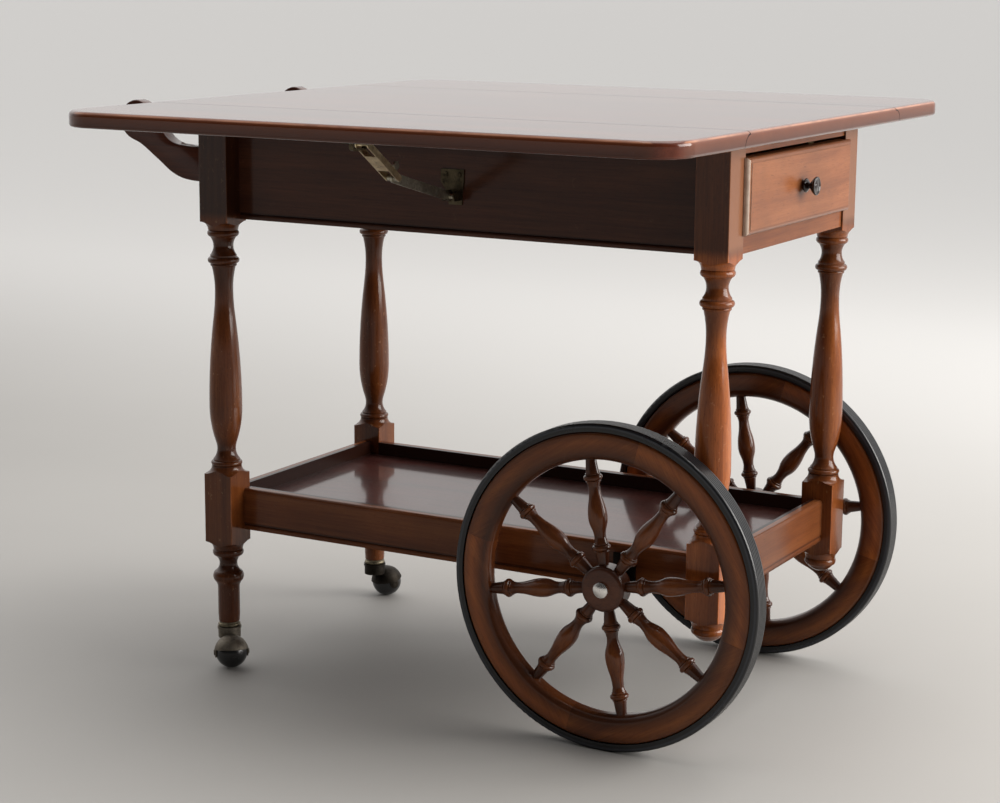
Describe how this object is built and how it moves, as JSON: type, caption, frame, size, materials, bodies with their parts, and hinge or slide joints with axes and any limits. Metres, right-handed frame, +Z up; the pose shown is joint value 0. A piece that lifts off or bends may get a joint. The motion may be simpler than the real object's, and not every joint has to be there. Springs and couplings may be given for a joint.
{
  "type": "drop leaf tea trolley",
  "caption": "Wheeled serving trolley with hinged drop leaves on folding stays, turned legs, an end drawer, a push handle, a lower tray shelf, spoked wheels and swivelling ball casters.",
  "frame": {"origin": "on the floor under the centre of the four legs", "axes": "+Z up; +X towards the drawer and the big wheels, -X towards the push handle and the casters; +Y the far side"},
  "size_m": [0.9555, 0.883, 0.762],
  "materials": {
    "mahogany": "polished red-brown",
    "dark_wood": "polished near-black",
    "pale_wood": "plain sawn secondary timber",
    "steel": "plain",
    "brass": "aged",
    "grey_metal": "dull grey",
    "bronze": "dark bronze",
    "black_ball": "smooth black",
    "tyre": "black rubber",
    "nickel": "polished"
  },
  "bodies": {
    "frame": {"top_centre": "mahogany", "leg_near_wheel_end": "mahogany", "leg_far_wheel_end": "mahogany", "leg_near_handle_end": "mahogany", "leg_far_handle_end": "mahogany", "apron_near": "mahogany", "apron_far": "mahogany", "apron_handle_end": "mahogany", "drawer_rail_upper": "mahogany", "drawer_rail_lower": "mahogany", "drawer_runner_near": "pale_wood", "drawer_runner_far": "pale_wood", "drawer_kickers": "pale_wood", "tray_board": "mahogany", "tray_rail_near": "mahogany", "tray_rail_far": "mahogany", "tray_rail_wheel_end": "mahogany", "tray_rail_handle_end": "mahogany", "handle_arm_near": "mahogany", "handle_arm_far": "mahogany", "handle_bar": "mahogany", "axle": "steel", "axle_bracket_near": "steel", "axle_bracket_far": "steel", "caster_ferrules": "brass", "hinge_fixed_flaps": "brass", "stay_apron_bracket_near": "grey_metal", "stay_apron_bracket_far": "grey_metal", "bracket_screws": "steel"},
    "drawer": {"drawer_front": "mahogany", "drawer_side_near": "pale_wood", "drawer_side_far": "pale_wood", "drawer_back": "pale_wood", "drawer_bottom": "pale_wood", "drawer_knob": "dark_wood"},
    "leaf_near": {"leaf_near": "mahogany", "hinge_flaps_near": "brass", "stay_leaf_bracket_near": "grey_metal"},
    "stay_lower_near": {"stay_lower_arm_near": "grey_metal"},
    "stay_upper_near": {"stay_upper_arm_near": "brass"},
    "wheel_near": {"wheel_tyre_near": "tyre", "wheel_rim_near": "mahogany", "wheel_spokes_near": "mahogany", "wheel_hub_near": "mahogany", "wheel_cap_near": "nickel"},
    "caster_near": {"caster_hood_near": "bronze"},
    "ball_near": {"caster_ball_near": "black_ball"},
    "leaf_far": {"leaf_far": "mahogany", "hinge_flaps_far": "brass", "stay_leaf_bracket_far": "grey_metal"},
    "stay_lower_far": {"stay_lower_arm_far": "grey_metal"},
    "stay_upper_far": {"stay_upper_arm_far": "brass"},
    "wheel_far": {"wheel_tyre_far": "tyre", "wheel_rim_far": "mahogany", "wheel_spokes_far": "mahogany", "wheel_hub_far": "mahogany", "wheel_cap_far": "nickel"},
    "caster_far": {"caster_hood_far": "bronze"},
    "ball_far": {"caster_ball_far": "black_ball"}
  },
  "joints": [
    {"name": "leaf_near_fold", "type": "hinge", "parent": "frame", "child": "leaf_near", "pos_m": [0, -0.242, 0.7435], "axis": [1, 0, 0], "range_deg": [0, 90]},
    {"name": "stay_near_lower_fold", "type": "hinge", "parent": "frame", "child": "stay_lower_near", "pos_m": [-0.004, -0.1937, 0.6599], "axis": [1, 0, 0], "range_deg": [0, 111.4]},
    {"name": "stay_near_upper_fold", "type": "hinge", "parent": "stay_lower_near", "child": "stay_upper_near", "pos_m": [-0.004, -0.3248, 0.6931], "axis": [1, 0, 0], "range_deg": [-121.3, 0]},
    {"name": "wheel_near_spin", "type": "hinge", "parent": "frame", "child": "wheel_near", "pos_m": [0.238, -0.228, 0.2035], "axis": [0, 1, 0], "continuous": true},
    {"name": "caster_near_swivel", "type": "hinge", "parent": "frame", "child": "caster_near", "pos_m": [-0.3545, -0.1852, 0.0525], "axis": [0, 0, 1], "continuous": true},
    {"name": "ball_near_roll", "type": "hinge", "parent": "caster_near", "child": "ball_near", "pos_m": [-0.34011, -0.20118, 0.0215], "axis": [0.7431, 0.6691, 0], "continuous": true},
    {"name": "leaf_far_fold", "type": "hinge", "parent": "frame", "child": "leaf_far", "pos_m": [0, 0.242, 0.7435], "axis": [-1, 0, 0], "range_deg": [0, 90]},
    {"name": "stay_far_lower_fold", "type": "hinge", "parent": "frame", "child": "stay_lower_far", "pos_m": [-0.004, 0.1937, 0.6599], "axis": [-1, 0, 0], "range_deg": [0, 111.4]},
    {"name": "stay_far_upper_fold", "type": "hinge", "parent": "stay_lower_far", "child": "stay_upper_far", "pos_m": [-0.004, 0.3248, 0.6931], "axis": [-1, 0, 0], "range_deg": [-121.3, 0]},
    {"name": "wheel_far_spin", "type": "hinge", "parent": "frame", "child": "wheel_far", "pos_m": [0.238, 0.228, 0.2035], "axis": [0, 1, 0], "continuous": true},
    {"name": "caster_far_swivel", "type": "hinge", "parent": "frame", "child": "caster_far", "pos_m": [-0.3545, 0.1852, 0.0525], "axis": [0, 0, 1], "continuous": true},
    {"name": "ball_far_roll", "type": "hinge", "parent": "caster_far", "child": "ball_far", "pos_m": [-0.34541, 0.20469, 0.0215], "axis": [-0.9063, 0.4226, 0], "continuous": true},
    {"name": "drawer_slide", "type": "slide", "parent": "frame", "child": "drawer", "axis": [1, 0, 0], "range_m": [0, 0.29]}
  ],
  "couplings": [
    {"joint": "stay_near_lower_fold", "follows": "leaf_near_fold", "ratio": 1.237},
    {"joint": "stay_near_upper_fold", "follows": "leaf_near_fold", "ratio": -1.347},
    {"joint": "stay_far_lower_fold", "follows": "leaf_far_fold", "ratio": 1.237},
    {"joint": "stay_far_upper_fold", "follows": "leaf_far_fold", "ratio": -1.347}
  ]
}
